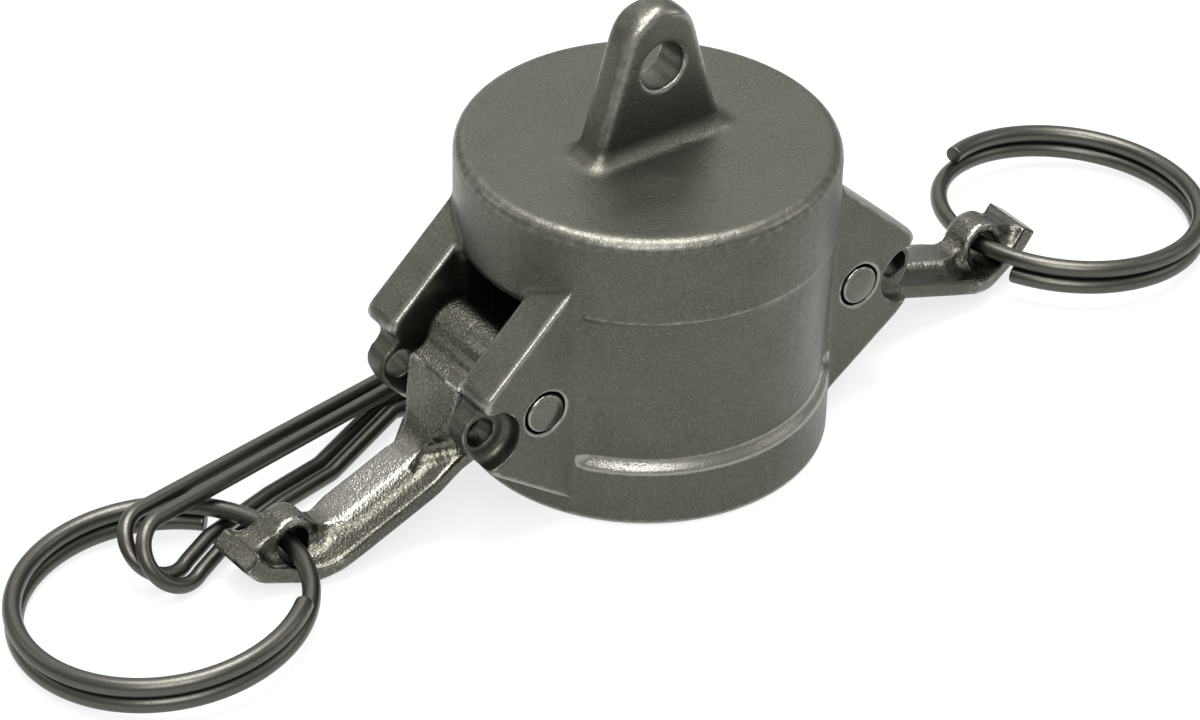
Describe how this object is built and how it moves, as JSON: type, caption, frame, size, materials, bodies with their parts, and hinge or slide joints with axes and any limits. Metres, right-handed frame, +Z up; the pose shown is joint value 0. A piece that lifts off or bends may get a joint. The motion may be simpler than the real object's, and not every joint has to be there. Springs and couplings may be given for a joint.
{
  "type": "camlock dust cap",
  "caption": "Cast stainless dust cap for a cam and groove adapter, with cam arms, pull rings, wire safety clips, a gasket and a lanyard lug.",
  "frame": {"origin": "centre of the cap's mouth, on the plane of the mouth rim", "axes": "+Z up through the closed end and the lug, X from the left arm to the right arm, Y along the pivot pins"},
  "size_m": [0.1751, 0.046, 0.0583],
  "materials": {
    "cast_stainless": "satin, fine cast grain",
    "arm_stainless": "tumbled casting, brighter on the edges",
    "pin_stainless": "machined",
    "wire_stainless": "smooth drawn wire",
    "black_rubber": "matt"
  },
  "bodies": {
    "cap": {"cap_body": "cast_stainless", "gasket": "black_rubber", "pivot_pin_left": "pin_stainless", "pivot_pin_right": "pin_stainless"},
    "arm_left": {"cam_arm_left": "arm_stainless"},
    "arm_right": {"cam_arm_right": "arm_stainless"},
    "ring_left": {"pull_ring_left": "wire_stainless"},
    "ring_right": {"pull_ring_right": "wire_stainless"},
    "clip_rear": {"safety_clip_rear": "wire_stainless"},
    "clip_front": {"safety_clip_front": "wire_stainless"}
  },
  "joints": [
    {"name": "arm_left_close", "type": "hinge", "parent": "cap", "child": "arm_left", "pos_m": [-0.0233, 0, 0.017], "axis": [0, 1, 0], "range_deg": [0, 112.5]},
    {"name": "arm_right_close", "type": "hinge", "parent": "cap", "child": "arm_right", "pos_m": [0.0233, 0, 0.017], "axis": [0, -1, 0], "range_deg": [0, 110.7]},
    {"name": "ring_left_swing", "type": "hinge", "parent": "arm_left", "child": "ring_left", "pos_m": [-0.05232, -0.00206, 0.00437], "axis": [0, -1, 0], "range_deg": [-15, 140]},
    {"name": "ring_right_swing", "type": "hinge", "parent": "arm_right", "child": "ring_right", "pos_m": [0.05269, 0.0005, 0.00569], "axis": [0, 1, 0], "range_deg": [-20, 150]},
    {"name": "clip_rear_swing", "type": "hinge", "parent": "ring_left", "child": "clip_rear", "pos_m": [-0.0567, 0.00934, 0.00423], "axis": [-0.215, 0.6201, -0.7544], "range_deg": [-4, 0]},
    {"name": "clip_front_swing", "type": "hinge", "parent": "ring_left", "child": "clip_front", "pos_m": [-0.05477, 0.00675, 0.0043], "axis": [-0.2488, 0.7209, -0.6469], "range_deg": [0, 1.5]}
  ]
}
